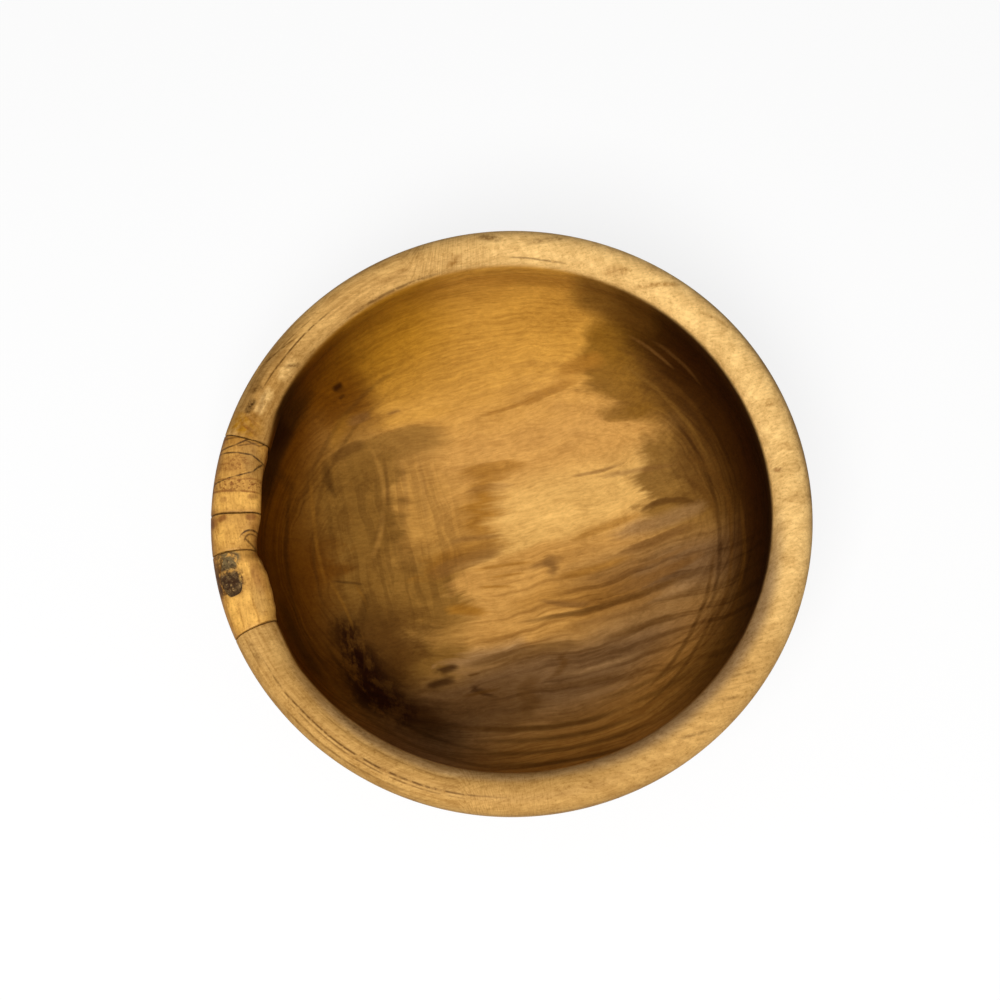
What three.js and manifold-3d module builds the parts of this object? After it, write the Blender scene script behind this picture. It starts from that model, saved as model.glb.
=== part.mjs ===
// A turned wooden bowl whose rim has been mended on one side: a notch in the rim holds three let-in
// blocks of cross-grained wood, and a knot plug fills the hole in the lower block.
// Millimetres, +Z up, origin at the centre of the base. Angles run counter-clockwise from +X.

import * as THREE from "three";
import { mergeVertices } from "three/addons/utils/BufferGeometryUtils.js";
import Module from "manifold-3d";

// Driving dimensions of the turned body
const rimDiameter = 160; // outside of the rim, the widest part
const bowlHeight = 62; // base to the top of the rim
const rimThickness = 11; // the rim is rounded over to a half circle
const footDiameter = 76; // flat base that the bowl stands on
const footEdgeRadius = 5; // round-over between the base and the outer wall
const footFlare = 30; // degrees above the horizontal at which the outer wall leaves the base
const floorThickness = 9; // wood left under the middle of the hollow
const hollowUndercut = 0.8; // how far the hollow swells out below the rim
const undercutHeight = 46; // height above the base at which the hollow is widest

// Shape of the wall curves: 0.55 is a quarter ellipse, 1 is a square corner
const outerFootFullness = 0.52;
const outerRimFullness = 0.6;
const innerWallFullness = 0.58;
const innerFloorFullness = 0.58;

// Let-in rim blocks
const notchStart = 158.4; // degrees, upper joint of the mended stretch
const firstJoint = 174.8; // degrees, between the upper and the middle block
const secondJoint = 182.8; // degrees, between the middle and the lower block
const notchEnd = 199.6; // degrees, lower joint of the mended stretch
const notchDepth = 17; // rim top down to the flat seat of the notch
const jointGap = 0.3; // glue line round each block
const blockProud = 2.8; // how far the blocks stand into the hollow where they are thickest
const startProud = 1; // the same at the upper joint
const dipProud = 0.6; // the same at the second joint, where the inner edge dips
const endProud = 1.8; // the same at the lower joint
const blockShoulderRadius = 2.5; // round-over of the blocks' inner top edge

// Knot plug in the lower block
const knotAngle = 188.2; // degrees round the bowl
const knotLean = 80; // degrees above the horizontal, the plug's axis leans outwards
const knotLength = 10.8; // along the rim
const knotWidth = 6; // across the rim
const knotDepth = 5; // below the rounded top of the rim
const knotTaper = 0.8; // width at the bottom of the plug, as a share of its mouth
const knotGap = 0.3; // clearance round the plug in its socket

// Facets
const aroundSteps = 96; // steps in a full turn of the body
const wallSteps = 10; // steps along each wall curve
const roundSteps = 10; // steps over the rounded rim
const shoulderSteps = 4; // steps over a small round-over
const blockSteps = 10; // steps along a rim block
const knotSides = 20; // facets round the knot plug

// Working allowances
const cutterReach = 15; // how far the notch cutter runs past the wood on each side
const samePoint = 1e-6; // points of an outline nearer than this are one point
const crossingHalvings = 40; // rounds of halving when a height is looked up on a curve

// Values worked out from the sizes above
const rimRadius = rimDiameter / 2;
const footRadius = footDiameter / 2;
const rimRound = rimThickness / 2;
const rimCentreHeight = bowlHeight - rimRound;
const rimCentreRadius = rimRadius - rimRound;
const mouthRadius = rimRadius - rimThickness;
const seatHeight = bowlHeight - notchDepth;

const wasm = await Module();
wasm.setup();

// Between drawn geometry and solids that can be cut

function solidFrom(geometry) {
  const bare = geometry.clone();
  bare.deleteAttribute("normal");
  bare.deleteAttribute("uv");
  const welded = mergeVertices(bare);
  return new wasm.Manifold(
    new wasm.Mesh({
      numProp: 3,
      vertProperties: welded.getAttribute("position").array,
      triVerts: new Uint32Array(welded.index.array),
    }),
  );
}

function geometryFrom(solid) {
  const { vertProperties, triVerts } = solid.getMesh();
  const geometry = new THREE.BufferGeometry();
  geometry.setAttribute("position", new THREE.BufferAttribute(vertProperties, 3));
  geometry.setIndex(new THREE.BufferAttribute(triVerts, 1));
  geometry.computeVertexNormals();
  return geometry;
}

// Wall curves, as radius and height

// Round-over of the base's edge, from the flat base up to the slope of the wall.
function footEdge() {
  const down = -Math.PI / 2;
  return new THREE.EllipseCurve(
    footRadius,
    footEdgeRadius,
    footEdgeRadius,
    footEdgeRadius,
    down,
    down + THREE.MathUtils.degToRad(footFlare),
  );
}

function outerWall() {
  const start = footEdge().getPoint(1);
  const run = outerFootFullness * (rimRadius - start.x);
  const rise = rimCentreHeight - start.y;
  const flare = THREE.MathUtils.degToRad(footFlare);
  return new THREE.CubicBezierCurve(
    start,
    new THREE.Vector2(start.x + run, start.y + run * Math.tan(flare)),
    new THREE.Vector2(rimRadius, rimCentreHeight - outerRimFullness * rise),
    new THREE.Vector2(rimRadius, rimCentreHeight),
  );
}

// The hollow swells out from the mouth to its widest, and from there curves in to a level floor.
function innerWall() {
  const widest = mouthRadius + hollowUndercut;
  const halfway = (rimCentreHeight + undercutHeight) / 2;
  const drop = undercutHeight - floorThickness;
  const path = new THREE.CurvePath();
  path.add(
    new THREE.CubicBezierCurve(
      new THREE.Vector2(mouthRadius, rimCentreHeight),
      new THREE.Vector2(mouthRadius, halfway),
      new THREE.Vector2(widest, halfway),
      new THREE.Vector2(widest, undercutHeight),
    ),
  );
  path.add(
    new THREE.CubicBezierCurve(
      new THREE.Vector2(widest, undercutHeight),
      new THREE.Vector2(widest, undercutHeight - innerWallFullness * drop),
      new THREE.Vector2(innerFloorFullness * widest, floorThickness),
      new THREE.Vector2(0, floorThickness),
    ),
  );
  return path;
}

// Where a wall curve, which climbs or falls all the way, crosses a height.
function crossing(curve, height) {
  const climbs = curve.getPoint(1).y > curve.getPoint(0).y;
  let low = 0;
  let high = 1;
  for (let halving = 0; halving < crossingHalvings; halving += 1) {
    const middle = (low + high) / 2;
    const below = curve.getPoint(middle).y < height;
    if (below === climbs) low = middle;
    else high = middle;
  }
  return (low + high) / 2;
}

function quarterRound(centreRadius, centreHeight, radius, fromAngle, steps) {
  const arc = new THREE.EllipseCurve(
    centreRadius,
    centreHeight,
    radius,
    radius,
    fromAngle,
    fromAngle + Math.PI / 2,
  );
  return arc.getPoints(steps);
}

// One outline from several runs of points, leaving out the repeats where the runs meet.
function joinRuns(...runs) {
  return runs.flat().filter((point, index, all) => {
    const before = all[index - 1];
    return !before || before.distanceTo(point) > samePoint;
  });
}

// Turned body

function bodyOutline() {
  const rim = new THREE.EllipseCurve(
    rimCentreRadius,
    rimCentreHeight,
    rimRound,
    rimRound,
    0,
    Math.PI,
  );
  return joinRuns(
    [new THREE.Vector2(0, 0)],
    footEdge().getPoints(shoulderSteps),
    outerWall().getPoints(wallSteps),
    rim.getPoints(roundSteps),
    innerWall().getPoints(wallSteps),
  );
}

function turned(outline) {
  const geometry = new THREE.LatheGeometry(outline, aroundSteps);
  geometry.rotateX(Math.PI / 2);
  return geometry;
}

// Solid that clears the notch: a sector of a ring, from the seat to above the rim.
function notchCutter() {
  const from = THREE.MathUtils.degToRad(notchStart);
  const to = THREE.MathUtils.degToRad(notchEnd);
  const innerRadius = mouthRadius - cutterReach;
  const outerRadius = rimRadius + cutterReach;
  const sector = new THREE.Shape();
  sector.absarc(0, 0, outerRadius, from, to, false);
  sector.absarc(0, 0, innerRadius, to, from, true);
  const geometry = new THREE.ExtrudeGeometry(sector, {
    depth: notchDepth + cutterReach,
    bevelEnabled: false,
    curveSegments: blockSteps,
  });
  geometry.translate(0, 0, seatHeight);
  return geometry;
}

// Rim blocks

// Outline of a block where it stands into the hollow by the given amount: the bowl's own outer wall
// and rounded rim, a flat top, a small inner round-over, and an inner face that fairs into the wall.
function blockOutline(proud) {
  const base = seatHeight + jointGap;
  const outer = outerWall();
  const inner = innerWall();
  const outerStart = crossing(outer, base);
  const outerRun = [];
  for (let step = 0; step <= wallSteps; step += 1) {
    outerRun.push(outer.getPoint(THREE.MathUtils.lerp(outerStart, 1, step / wallSteps)));
  }
  const shoulder = THREE.MathUtils.lerp(rimRound, blockShoulderRadius, proud / blockProud);
  const face = mouthRadius - proud;
  return joinRuns(
    outerRun,
    quarterRound(rimCentreRadius, rimCentreHeight, rimRound, 0, roundSteps / 2),
    quarterRound(face + shoulder, bowlHeight - shoulder, shoulder, Math.PI / 2, shoulderSteps),
    [inner.getPoint(crossing(inner, base))],
  );
}

// How far a block stands into the hollow, eased between its values at even stations along the block.
function proudAt(stations, share) {
  const spans = stations.length - 1;
  const span = Math.min(Math.floor(share * spans), spans - 1);
  const eased = THREE.MathUtils.smoothstep(share * spans - span, 0, 1);
  return THREE.MathUtils.lerp(stations[span], stations[span + 1], eased);
}

// A block swept round the bowl's axis between two angles, closed by flat radial ends.
function sweptBlock(fromDegrees, toDegrees, stations) {
  const positions = [];
  const triangles = [];
  const outlines = [];
  for (let step = 0; step <= blockSteps; step += 1) {
    const share = step / blockSteps;
    const angle = THREE.MathUtils.degToRad(THREE.MathUtils.lerp(fromDegrees, toDegrees, share));
    const outline = blockOutline(proudAt(stations, share));
    outlines.push(outline);
    for (const point of outline) {
      positions.push(point.x * Math.cos(angle), point.x * Math.sin(angle), point.y);
    }
  }
  const size = outlines[0].length;
  for (let step = 0; step < blockSteps; step += 1) {
    for (let corner = 0; corner < size; corner += 1) {
      const here = step * size + corner;
      const beside = step * size + ((corner + 1) % size);
      triangles.push(here, here + size, beside, beside, here + size, beside + size);
    }
  }
  for (const [first, second, third] of THREE.ShapeUtils.triangulateShape(outlines[0], [])) {
    triangles.push(first, second, third);
  }
  const last = blockSteps * size;
  for (const [first, second, third] of THREE.ShapeUtils.triangulateShape(outlines.at(-1), [])) {
    triangles.push(last + third, last + second, last + first);
  }
  const geometry = new THREE.BufferGeometry();
  geometry.setAttribute("position", new THREE.Float32BufferAttribute(positions, 3));
  geometry.setIndex(triangles);
  return geometry;
}

// The joint gap as an angle at the middle of the rim.
const gapDegrees = THREE.MathUtils.radToDeg(jointGap / rimCentreRadius);

function upperBlock() {
  return sweptBlock(notchStart + gapDegrees, firstJoint - gapDegrees / 2, [startProud, blockProud]);
}

function middleBlock() {
  return sweptBlock(firstJoint + gapDegrees / 2, secondJoint - gapDegrees / 2, [blockProud, dipProud]);
}

function lowerBlock() {
  return sweptBlock(secondJoint + gapDegrees / 2, notchEnd - gapDegrees, [dipProud, blockProud, endProud]);
}

// Knot plug

// Oval tapered pin whose axis leans out of the rounded rim; it reaches above the rim as a cutter.
function knotPin(clearance) {
  const reach = rimRound;
  const depth = knotDepth - clearance;
  const mouth = knotWidth / 2 - clearance;
  const tip = (knotTaper * knotWidth) / 2 - clearance;
  const spread = mouth + ((mouth - tip) * reach) / depth;
  const geometry = new THREE.CylinderGeometry(spread, tip, depth + reach, knotSides);
  geometry.rotateX(Math.PI / 2);
  geometry.translate(0, 0, (reach - depth) / 2);
  geometry.scale(1, (knotLength / 2 - clearance) / mouth, 1);
  const lean = THREE.MathUtils.degToRad(knotLean);
  geometry.rotateY(Math.PI / 2 - lean);
  geometry.translate(
    rimCentreRadius + rimRound * Math.cos(lean),
    0,
    rimCentreHeight + rimRound * Math.sin(lean),
  );
  geometry.rotateZ(THREE.MathUtils.degToRad(knotAngle));
  return geometry;
}

// Materials

function wood(color, roughness) {
  return new THREE.MeshStandardMaterial({ color, roughness, metalness: 0 });
}

const bodyWood = wood(0xb98543, 0.42);
const blockWood = wood(0xd2a255, 0.45);
const knotWood = wood(0x4b3620, 0.75);

// Assembly

const bowl = new THREE.Group();
bowl.name = "bowl";

function place(name, solid, material) {
  const mesh = new THREE.Mesh(geometryFrom(solid), material);
  mesh.name = name;
  bowl.add(mesh);
}

const body = solidFrom(turned(bodyOutline()));
const lower = solidFrom(lowerBlock());

place("bowl_body", body.subtract(solidFrom(notchCutter())), bodyWood);
place("rim_block_upper", solidFrom(upperBlock()), blockWood);
place("rim_block_middle", solidFrom(middleBlock()), blockWood);
place("rim_block_lower", lower.subtract(solidFrom(knotPin(0))), blockWood);
place("knot_plug", lower.intersect(solidFrom(knotPin(knotGap))), knotWood);

export default bowl;
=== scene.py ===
import math

import bpy
from mathutils import Matrix, Vector, noise
from mathutils.bvhtree import BVHTree


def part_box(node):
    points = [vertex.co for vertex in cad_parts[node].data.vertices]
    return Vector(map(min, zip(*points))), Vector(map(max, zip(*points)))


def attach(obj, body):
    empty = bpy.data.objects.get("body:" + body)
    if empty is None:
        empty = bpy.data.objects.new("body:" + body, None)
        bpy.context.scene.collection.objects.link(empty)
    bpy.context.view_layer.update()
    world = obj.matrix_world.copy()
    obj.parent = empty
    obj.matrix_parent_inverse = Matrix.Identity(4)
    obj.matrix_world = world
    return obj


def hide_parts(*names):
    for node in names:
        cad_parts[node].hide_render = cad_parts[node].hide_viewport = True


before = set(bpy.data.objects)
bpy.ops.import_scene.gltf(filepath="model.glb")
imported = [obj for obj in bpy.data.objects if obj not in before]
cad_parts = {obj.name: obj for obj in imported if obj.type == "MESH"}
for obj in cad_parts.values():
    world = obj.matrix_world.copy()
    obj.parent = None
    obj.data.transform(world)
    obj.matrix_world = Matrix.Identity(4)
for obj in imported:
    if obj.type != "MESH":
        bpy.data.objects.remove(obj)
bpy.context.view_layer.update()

mm = 0.001
scene = bpy.context.scene

# sizes in mm, angles in degrees counter-clockwise from +X seen from above
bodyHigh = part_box("bowl_body")[1]
bowl = {
    "rimRadius": bodyHigh.y / mm,
    "height": bodyHigh.z / mm,
    "rimThickness": 11,
    "footRadius": 38,
    "footEdge": 5,
    "footFlare": 30,
    "floor": 9,
    "undercut": 0.8,
    "widestAt": 46,                  # height of the widest part of the hollow
    "outerFullness": (0.52, 0.6),
    "innerFullness": (0.58, 0.58),
    "stepsAround": 400,
    "footSteps": 8,
    "outerSteps": 54,
    "innerSteps": 84,
    "rimSteps": 56,
    "seatSteps": 16,
    "stray": 0.3,                    # how far the turning strays from a true circle
}

mend = {
    "start": 158.4,
    "firstJoint": 174.8,
    "secondJoint": 182.8,
    "end": 199.6,
    "depth": 17,                     # rim top down to the seat
    "glueLine": 0.3,
    "proud": 2.8,                    # how far the blocks stand into the hollow
    "proudAtStart": 1.6,             # the turned lip swells by as much beside the notch
    "proudAtDip": 0.6,
    "proudAtEnd": 1.0,
    "swell": 13,                     # degrees over which the swelling dies away
    "shoulder": 2.5,
    "arris": 0.25,                   # eased edges along the joints
    "stepsPerDegree": 5,
    "wallSteps": 30,                 # round a block's section, from the outside over the rim
    "outerSteps": 40,
    "topSteps": 16,
    "innerSteps": 22,
    "faceSteps": 40,
    "underSteps": 12,
    "finely": 400,                   # steps for finding where a wall meets the seat
}

rimRound = bowl["rimThickness"] / 2
rimCentre = Vector((bowl["rimRadius"] - rimRound, bowl["height"] - rimRound))
mouthRadius = bowl["rimRadius"] - bowl["rimThickness"]
seatHeight = bowl["height"] - mend["depth"]
easing = ((0, 1), (0.3, 0.3), (1, 0))            # step in from a joint, step down from the surface
sharpFrom = math.radians(50)                     # edges that turn by more than this stay crisp


def smoothStep(low, high, x):
    x = min(1, max(0, (x - low) / (high - low)))
    return x * x * (3 - 2 * x)


def bezier(a, b, c, d, steps):
    run = []
    for step in range(steps + 1):
        t = step / steps
        run.append(a * (1 - t) ** 3 + b * (3 * t * (1 - t) ** 2) + c * (3 * t * t * (1 - t)) + d * t ** 3)
    return run


def arc(centre, radius, start, end, steps):
    angles = [start + (end - start) * step / steps for step in range(steps + 1)]
    return [centre + Vector((math.cos(a), math.sin(a))) * radius for a in angles]


# profile points are (radius, height)
def footEdge(steps):
    down = -math.pi / 2
    middle = Vector((bowl["footRadius"], bowl["footEdge"]))
    return arc(middle, bowl["footEdge"], down, down + math.radians(bowl["footFlare"]), steps)


def outerWall(steps):
    start = footEdge(1)[-1]
    run = bowl["outerFullness"][0] * (bowl["rimRadius"] - start.x)
    rise = run * math.tan(math.radians(bowl["footFlare"]))
    top = Vector((bowl["rimRadius"], rimCentre.y))
    belly = Vector((0, bowl["outerFullness"][1] * (rimCentre.y - start.y)))
    return bezier(start, start + Vector((run, rise)), top - belly, top, steps)


def innerWall(steps):
    widest = mouthRadius + bowl["undercut"]
    halfway = (rimCentre.y + bowl["widestAt"]) / 2
    drop = bowl["widestAt"] - bowl["floor"]
    swell = bezier(Vector((mouthRadius, rimCentre.y)), Vector((mouthRadius, halfway)),
                   Vector((widest, halfway)), Vector((widest, bowl["widestAt"])), steps // 3)
    cup = bezier(Vector((widest, bowl["widestAt"])),
                 Vector((widest, bowl["widestAt"] - bowl["innerFullness"][0] * drop)),
                 Vector((bowl["innerFullness"][1] * widest, bowl["floor"])),
                 Vector((0, bowl["floor"])), steps)
    return swell + cup[1:]


def splitAtHeight(run, height):
    for index in range(len(run) - 1):
        first, second = run[index], run[index + 1]
        if (first.y - height) * (second.y - height) <= 0:
            cut = first.lerp(second, (height - first.y) / (second.y - first.y))
            return run[:index + 1] + [cut], [cut] + run[index + 1:]


def resampled(run, steps):
    return [run[round(step * (len(run) - 1) / steps)] for step in range(steps + 1)]


def inset(outline, distance):
    moved = []
    for index, point in enumerate(outline):
        run = outline[(index + 1) % len(outline)] - outline[index - 1]
        moved.append(point + Vector((-run.y, run.x)).normalized() * distance)
    return moved


# hand turning: the rim strays a little inwards and down from a true circle
def handTurned(point, degrees):
    a = math.radians(degrees)
    stray = 0.5 + 0.28 * math.sin(2 * a + 0.7) + 0.16 * math.sin(3 * a + 2.1) + 0.06 * math.sin(7 * a)
    stray *= bowl["stray"] * smoothStep(20, 50, point.y)
    return Vector((point.x - stray, point.y - 0.6 * stray))


# the lip swells into the hollow beside the mend
def lipSwell(point, degrees):
    degrees %= 360
    before = mend["proudAtStart"] * smoothStep(mend["start"] - mend["swell"], mend["start"], degrees)
    after = mend["proudAtEnd"] * smoothStep(mend["end"] + mend["swell"], mend["end"], degrees)
    inwards = smoothStep(0, 1, (rimCentre.x - point.x) / rimRound)
    inwards *= smoothStep(seatHeight, rimCentre.y, point.y)
    return Vector((point.x - inwards * (before if degrees < 180 else after), point.y))


def around(point, degrees):
    a = math.radians(degrees)
    point = handTurned(point, degrees)
    return Vector((point.x * math.cos(a), point.x * math.sin(a), point.y))


def meshPiece(name, node, verts, faces):
    mesh = bpy.data.meshes.new(name)
    mesh.from_pydata([v * mm for v in verts], [], faces)
    mesh.validate()
    mesh.shade_smooth()
    piece = bpy.data.objects.new(name, mesh)
    scene.collection.objects.link(piece)
    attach(piece, "root")
    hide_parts(node)
    print(name + ":", len(verts), "points")
    return piece


def band(faces, low, high, closed):
    for k in range(len(low) if closed else len(low) - 1):
        j = (k + 1) % len(low)
        faces.append((low[k], low[j], high[j], high[k]))


def turnBody():
    outerLow, outerHigh = splitAtHeight(outerWall(bowl["outerSteps"]), seatHeight)
    innerHigh, innerLow = splitAtHeight(innerWall(bowl["innerSteps"]), seatHeight)
    rim = arc(rimCentre, rimRound, 0, math.pi, bowl["rimSteps"])
    base = [Vector((bowl["footRadius"] * share, 0)) for share in (0.25, 0.5, 0.75, 0.92)]
    below = base + footEdge(bowl["footSteps"])[:-1] + outerLow
    above = outerHigh[1:] + rim[1:] + innerHigh[1:-1]
    eased = inset([outerLow[-1]] + above + [innerLow[0]], mend["arris"])[1:-1]
    inside = innerLow[:-1]

    # columns run right round; the first ones miss the notch, the rest stand in it
    sweep = 360 - (mend["end"] - mend["start"])
    step = 360 / bowl["stepsAround"]
    slight = math.degrees(mend["arris"] / rimCentre.x)
    shares = [slight * run for run, drop in easing]
    middle = [k * step for k in range(1, int(sweep / step))]
    sweeps = shares + middle + [sweep - share for share in reversed(shares)]
    drops = [drop for run, drop in easing] + [0] * len(middle) + [drop for run, drop in reversed(easing)]
    degrees = [mend["end"] + angle for angle in sweeps]
    rimCount = len(degrees)
    notchSteps = round((360 - sweep) / step)
    degrees += [mend["start"] + 360 + (360 - sweep) * k / notchSteps for k in range(1, notchSteps)]
    columns = len(degrees)
    verts, faces, hollowness = [], [], []

    def row(point, lower, hollow, count):
        first = len(verts)
        for k in range(count):
            drop = drops[k] if count == rimCount else 0
            verts.append(around(lipSwell(point.lerp(lower, drop), degrees[k]), degrees[k]))
        hollowness.extend([hollow] * count)
        return list(range(first, first + count))

    def overRim(point):              # 0 on the rim, 1 in the hollow
        inwards = (rimCentre.x - point.x) / rimRound
        return 1 if inwards > 0 and point.y < rimCentre.y else smoothStep(0.86, 1, inwards)

    belowRows = [row(p, p, 0, columns) for p in below]
    aboveRows = [row(p, lower, overRim(p), rimCount) for p, lower in zip(above, eased)]
    insideRows = [row(p, p, 1, columns) for p in inside]
    for rows in (belowRows, insideRows):
        for low, high in zip(rows, rows[1:]):
            band(faces, low, high, True)
    rimRows = [belowRows[-1][:rimCount]] + aboveRows + [insideRows[0][:rimCount]]
    for low, high in zip(rimRows, rimRows[1:]):
        band(faces, low, high, False)

    # middle of the base and of the hollow's floor
    under, top = len(verts), len(verts) + 1
    verts.extend((Vector((0, 0, 0)), Vector((0, 0, bowl["floor"]))))
    hollowness.extend((0, 1))
    for k in range(columns):
        j = (k + 1) % columns
        faces.append((under, belowRows[0][j], belowRows[0][k]))
        faces.append((insideRows[-1][k], insideRows[-1][j], top))

    # flat seat of the notch and the two ends of the rim above it
    notch = list(range(rimCount - 1, columns)) + [0]
    seatRows = [[belowRows[-1][k] for k in notch]]
    for step in range(1, bowl["seatSteps"]):
        first = len(verts)
        for k in notch:
            verts.append(verts[belowRows[-1][k]].lerp(verts[insideRows[0][k]], step / bowl["seatSteps"]))
        hollowness.extend([0] * len(notch))
        seatRows.append(list(range(first, first + len(notch))))
    seatRows.append([insideRows[0][k] for k in notch])
    for low, high in zip(seatRows, seatRows[1:]):
        band(faces, low, high, False)
    for column, seatColumn, flipped in ((0, -1, True), (rimCount - 1, 0, False)):
        loop = [line[column] for line in rimRows] + [line[seatColumn] for line in reversed(seatRows[1:-1])]
        faces.append(tuple(reversed(loop)) if flipped else tuple(loop))

    piece = meshPiece("turnedBody", "bowl_body", verts, faces)
    hollow = piece.data.attributes.new("hollow", "FLOAT", "POINT")
    hollow.data.foreach_set("value", hollowness)
    piece.data.set_sharp_from_angle(angle=sharpFrom)
    return piece


turnedBody = turnBody()

# let-in blocks: where each stands, and how proud it is at even stations along it
half = math.degrees(mend["glueLine"] / rimCentre.x) / 2
blocks = {
    "upperRimBlock": {
        "node": "rim_block_upper",
        "between": (mend["start"] + 2 * half, mend["firstJoint"] - half),
        "proud": (mend["proudAtStart"], mend["proud"]),
    },
    "middleRimBlock": {
        "node": "rim_block_middle",
        "between": (mend["firstJoint"] + half, mend["secondJoint"] - half),
        "proud": (mend["proud"], mend["proudAtDip"]),
    },
    "lowerRimBlock": {
        "node": "rim_block_lower",
        "between": (mend["secondJoint"] + half, mend["end"] - 2 * half),
        "proud": (mend["proudAtDip"], 0.75 * mend["proud"], mend["proud"],
                  mend["proud"], 0.8 * mend["proud"], mend["proudAtEnd"]),
    },
}


def proudAt(stations, share):
    spans = len(stations) - 1
    span = min(int(share * spans), spans - 1)
    return stations[span] + (stations[span + 1] - stations[span]) * smoothStep(0, 1, share * spans - span)


def straight(first, last, steps):    # the points between two ends
    return [first.lerp(last, step / steps) for step in range(1, steps)]


# a block's section, squarer at its inner edge the prouder it stands
def blockOutline(proud):
    base = seatHeight + mend["glueLine"]
    shoulder = rimRound + (mend["shoulder"] - rimRound) * proud / mend["proud"]
    face = mouthRadius - proud
    outer = resampled(splitAtHeight(outerWall(mend["finely"]), base)[1], mend["wallSteps"])
    inner = splitAtHeight(innerWall(mend["finely"]), base)[0][-1]
    outerRound = arc(rimCentre, rimRound, 0, math.pi / 2, mend["outerSteps"])
    middle = Vector((face + shoulder, bowl["height"] - shoulder))
    innerRound = arc(middle, shoulder, math.pi / 2, math.pi, mend["innerSteps"])
    flat = straight(outerRound[-1], innerRound[0], mend["topSteps"])
    wall = straight(innerRound[-1], inner, mend["faceSteps"])
    under = straight(inner, outer[0], mend["underSteps"])
    return outer + outerRound[1:] + flat + innerRound + wall + [inner] + under


def rimBlock(name):
    block = blocks[name]
    start, end = block["between"]
    slight = math.degrees(mend["arris"] / rimCentre.x)
    steps = round((end - start) * mend["stepsPerDegree"])
    stations = [(start + slight * run, drop) for run, drop in easing]
    stations += [(start + (end - start) * step / steps, 0) for step in range(2, steps - 1)]
    stations += [(end - slight * run, drop) for run, drop in reversed(easing)]
    verts, faces, rings = [], [], []
    for degrees, drop in stations:
        outline = blockOutline(proudAt(block["proud"], (degrees - start) / (end - start)))
        outline = inset(outline, mend["arris"] * drop)
        rings.append(list(range(len(verts), len(verts) + len(outline))))
        verts.extend(around(p, degrees) for p in outline)
    for here, beyond in zip(rings, rings[1:]):
        band(faces, beyond, here, True)
    faces.append(tuple(rings[0]))
    faces.append(tuple(reversed(rings[-1])))
    return meshPiece(name, block["node"], verts, faces)


rimBlocks = {name: rimBlock(name) for name in blocks}

# knot plug: an oval plug of rough dark wood, sunk a little into its socket in the lower block
knot = {
    "angle": 188.2,
    "lean": 80,                      # degrees above the horizontal
    "length": 10.8,
    "width": 6,
    "depth": 5,
    "taper": 0.8,
    "clearance": 0.12,
    "sunk": 0.2,
    "sideRows": ((0.94, -2), (0.87, -3.5)),      # share of the oval, height from the rim
    "footGap": 0.2,
    "rough": 0.55,
    "lumpsPerMm": 0.6,
    "dip": 0.3,                      # of the rough top on the whole
    "rise": 0.15,                    # the most that a lump stands up
    "sides": 96,
    "rings": 30,
}


def knotFrame():
    lean, turn = math.radians(knot["lean"]), Matrix.Rotation(math.radians(knot["angle"]), 3, "Z")
    axis = turn @ Vector((math.cos(lean), 0, math.sin(lean)))
    across = turn @ Vector((math.sin(lean), 0, -math.cos(lean)))
    along = turn @ Vector((0, 1, 0))
    top = Vector((rimCentre.x + rimRound * math.cos(lean), 0, rimCentre.y + rimRound * math.sin(lean)))
    return turn @ top, axis, across, along


def knotOval(angle, share, clearance):
    wave = 1 + 0.04 * math.sin(3 * angle + 0.6) + 0.03 * math.sin(5 * angle + 2)
    wide, tall = knot["width"] / 2 - clearance, knot["length"] / 2 - clearance
    return Vector((wide * math.cos(angle), tall * math.sin(angle))) * share * wave


def knotRing(verts, share, clearance, height):
    middle, axis, across, along = knotFrame()
    first = len(verts)
    for side in range(knot["sides"]):
        spot = knotOval(2 * math.pi * side / knot["sides"], share, clearance)
        verts.append(middle + across * spot.x + along * spot.y + axis * height)
    return list(range(first, len(verts)))


def cutSocket(block):
    verts, faces = [], []
    above = 3                        # how far the cutter stands out of the rim
    flare = 1 + (1 - knot["taper"]) * above / knot["depth"]
    rings = [knotRing(verts, knot["taper"], 0, -knot["depth"]),
             knotRing(verts, 1, 0, 0),
             knotRing(verts, flare, 0, above)]
    for low, high in zip(rings, rings[1:]):
        band(faces, low, high, True)
    faces.append(tuple(reversed(rings[0])))
    faces.append(tuple(rings[-1]))
    mesh = bpy.data.meshes.new("socketCutter")
    mesh.from_pydata([v * mm for v in verts], [], faces)
    cutter = bpy.data.objects.new("socketCutter", mesh)
    scene.collection.objects.link(cutter)
    cut = block.modifiers.new("socket", "BOOLEAN")
    cut.object = cutter
    cut.solver = "EXACT"
    bpy.context.view_layer.update()
    shown = bpy.data.meshes.new_from_object(block.evaluated_get(bpy.context.evaluated_depsgraph_get()))
    block.modifiers.remove(cut)
    block.data = shown
    bpy.data.objects.remove(cutter)


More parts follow.
